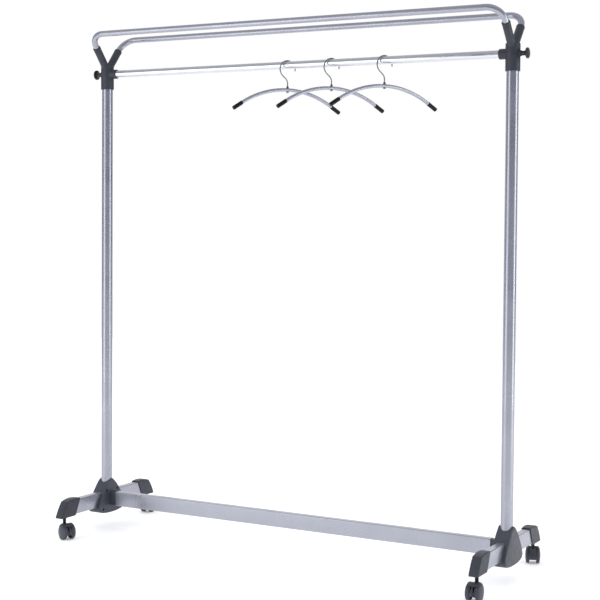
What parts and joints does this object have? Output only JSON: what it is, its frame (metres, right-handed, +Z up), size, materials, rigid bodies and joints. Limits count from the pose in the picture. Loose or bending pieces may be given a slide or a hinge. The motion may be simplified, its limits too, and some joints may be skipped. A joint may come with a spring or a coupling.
{
  "type": "rolling clothes rack",
  "caption": "Rolling clothes rack with an H-shaped base on twin-wheel casters, a hanging bar, bent top rails, side pegs and matching hangers on the bar.",
  "frame": {"origin": "on the floor, under the middle of the rack's overall box", "axes": "+X along the hanging bar to the right-hand side, +Y from the front to the rear along the feet, +Z up"},
  "size_m": [1.6, 0.569, 1.7299],
  "materials": {
    "silver_paint": "satin metallic silver paint",
    "bar_chrome": "bright plated steel",
    "charcoal_plastic": "satin moulded charcoal plastic",
    "hub_plastic": "satin moulded charcoal plastic",
    "peg_plastic": "satin near-black plastic",
    "caster_plastic": "satin dark grey plastic",
    "wheel_plastic": "satin dark grey nylon",
    "stem_black": "black oxide steel",
    "screw_steel": "dark plated steel",
    "hook_chrome": "bright plated wire",
    "tip_rubber": "black rubber",
    "collar_plastic": "dark grey plastic"
  },
  "bodies": {
    "rack": {"base_crossbar": "silver_paint", "front_left_foot_cap": "charcoal_plastic", "front_rail": "silver_paint", "front_right_foot_cap": "charcoal_plastic", "hanging_bar": "bar_chrome", "left_foot_tube": "silver_paint", "left_hub_inner": "hub_plastic", "left_hub_outer": "hub_plastic", "left_hub_screws": "screw_steel", "left_post": "silver_paint", "left_y_connector": "charcoal_plastic", "rear_left_foot_cap": "charcoal_plastic", "rear_rail": "silver_paint", "rear_right_foot_cap": "charcoal_plastic", "right_foot_tube": "silver_paint", "right_hub_inner": "hub_plastic", "right_hub_outer": "hub_plastic", "right_hub_screws": "screw_steel", "right_post": "silver_paint", "right_y_connector": "charcoal_plastic"},
    "front_left_caster": {"front_left_caster_stem": "stem_black", "front_left_caster_housing": "caster_plastic", "front_left_caster_axle": "screw_steel"},
    "front_left_wheel_a": {"front_left_caster_wheel_a": "wheel_plastic"},
    "front_left_wheel_b": {"front_left_caster_wheel_b": "wheel_plastic"},
    "front_right_caster": {"front_right_caster_stem": "stem_black", "front_right_caster_housing": "caster_plastic", "front_right_caster_axle": "screw_steel"},
    "front_right_wheel_a": {"front_right_caster_wheel_a": "wheel_plastic"},
    "front_right_wheel_b": {"front_right_caster_wheel_b": "wheel_plastic"},
    "rear_left_caster": {"rear_left_caster_stem": "stem_black", "rear_left_caster_housing": "caster_plastic", "rear_left_caster_axle": "screw_steel"},
    "rear_left_wheel_a": {"rear_left_caster_wheel_a": "wheel_plastic"},
    "rear_left_wheel_b": {"rear_left_caster_wheel_b": "wheel_plastic"},
    "rear_right_caster": {"rear_right_caster_stem": "stem_black", "rear_right_caster_housing": "caster_plastic", "rear_right_caster_axle": "screw_steel"},
    "rear_right_wheel_a": {"rear_right_caster_wheel_a": "wheel_plastic"},
    "rear_right_wheel_b": {"rear_right_caster_wheel_b": "wheel_plastic"},
    "left_side_peg": {"left_peg": "peg_plastic"},
    "right_side_peg": {"right_peg": "peg_plastic"},
    "left_hook": {"left_hanger_hook": "hook_chrome"},
    "left_hanger": {"left_hanger_body": "silver_paint", "left_hanger_tips": "tip_rubber", "left_hanger_collar": "collar_plastic"},
    "middle_hook": {"middle_hanger_hook": "hook_chrome"},
    "middle_hanger": {"middle_hanger_body": "silver_paint", "middle_hanger_tips": "tip_rubber", "middle_hanger_collar": "collar_plastic"},
    "right_hook": {"right_hanger_hook": "hook_chrome"},
    "right_hanger": {"right_hanger_body": "silver_paint", "right_hanger_tips": "tip_rubber", "right_hanger_collar": "collar_plastic"}
  },
  "joints": [
    {"name": "front_left_caster_swivel", "type": "hinge", "parent": "rack", "child": "front_left_caster", "pos_m": [-0.75, -0.238, 0.09], "axis": [0, 0, 1], "continuous": true},
    {"name": "front_left_wheel_a_roll", "type": "hinge", "parent": "front_left_caster", "child": "front_left_wheel_a", "pos_m": [-0.73303, -0.24538, 0.025], "axis": [0.3987, 0.9171, 0], "continuous": true},
    {"name": "front_left_wheel_b_roll", "type": "hinge", "parent": "front_left_caster", "child": "front_left_wheel_b", "pos_m": [-0.73303, -0.24538, 0.025], "axis": [0.3987, 0.9171, 0], "continuous": true},
    {"name": "front_right_caster_swivel", "type": "hinge", "parent": "rack", "child": "front_right_caster", "pos_m": [0.75, -0.238, 0.09], "axis": [0, 0, 1], "continuous": true},
    {"name": "front_right_wheel_a_roll", "type": "hinge", "parent": "front_right_caster", "child": "front_right_wheel_a", "pos_m": [0.75048, -0.25649, 0.025], "axis": [0.9997, 0.0262, 0], "continuous": true},
    {"name": "front_right_wheel_b_roll", "type": "hinge", "parent": "front_right_caster", "child": "front_right_wheel_b", "pos_m": [0.75048, -0.25649, 0.025], "axis": [0.9997, 0.0262, 0], "continuous": true},
    {"name": "rear_left_caster_swivel", "type": "hinge", "parent": "rack", "child": "rear_left_caster", "pos_m": [-0.75, 0.238, 0.09], "axis": [0, 0, 1], "continuous": true},
    {"name": "rear_left_wheel_a_roll", "type": "hinge", "parent": "rear_left_caster", "child": "rear_left_wheel_a", "pos_m": [-0.75321, 0.25622, 0.025], "axis": [-0.9848, -0.1736, 0], "continuous": true},
    {"name": "rear_left_wheel_b_roll", "type": "hinge", "parent": "rear_left_caster", "child": "rear_left_wheel_b", "pos_m": [-0.75321, 0.25622, 0.025], "axis": [-0.9848, -0.1736, 0], "continuous": true},
    {"name": "rear_right_caster_swivel", "type": "hinge", "parent": "rack", "child": "rear_right_caster", "pos_m": [0.75, 0.238, 0.09], "axis": [0, 0, 1], "continuous": true},
    {"name": "rear_right_wheel_a_roll", "type": "hinge", "parent": "rear_right_caster", "child": "rear_right_wheel_a", "pos_m": [0.74382, 0.25544, 0.025], "axis": [-0.9426, -0.3338, 0], "continuous": true},
    {"name": "rear_right_wheel_b_roll", "type": "hinge", "parent": "rear_right_caster", "child": "rear_right_wheel_b", "pos_m": [0.74382, 0.25544, 0.025], "axis": [-0.9426, -0.3338, 0], "continuous": true},
    {"name": "left_peg_turn", "type": "hinge", "parent": "rack", "child": "left_side_peg", "pos_m": [-0.776, 0, 1.5915], "axis": [1, 0, 0], "continuous": true},
    {"name": "right_peg_turn", "type": "hinge", "parent": "rack", "child": "right_side_peg", "pos_m": [0.776, 0, 1.5915], "axis": [1, 0, 0], "continuous": true},
    {"name": "left_hanger_slide", "type": "slide", "parent": "rack", "child": "left_hook", "axis": [1, 0, 0], "range_m": [-0.62, 0.11]},
    {"name": "left_hanger_swivel", "type": "hinge", "parent": "left_hook", "child": "left_hanger", "pos_m": [-0.0237, 0, 1.5115], "axis": [0, 0, 1], "range_deg": [-30, 31]},
    {"name": "middle_hanger_slide", "type": "slide", "parent": "rack", "child": "middle_hook", "axis": [1, 0, 0], "range_m": [-0.11, 0.13]},
    {"name": "middle_hanger_swivel", "type": "hinge", "parent": "middle_hook", "child": "middle_hanger", "pos_m": [0.1381, 0, 1.5115], "axis": [0, 0, 1], "range_deg": [-30, 31]},
    {"name": "right_hanger_slide", "type": "slide", "parent": "rack", "child": "right_hook", "axis": [1, 0, 0], "range_m": [-0.13, 0.32]},
    {"name": "right_hanger_swivel", "type": "hinge", "parent": "right_hook", "child": "right_hanger", "pos_m": [0.3258, 0, 1.5115], "axis": [0, 0, 1], "range_deg": [-30, 31]}
  ]
}
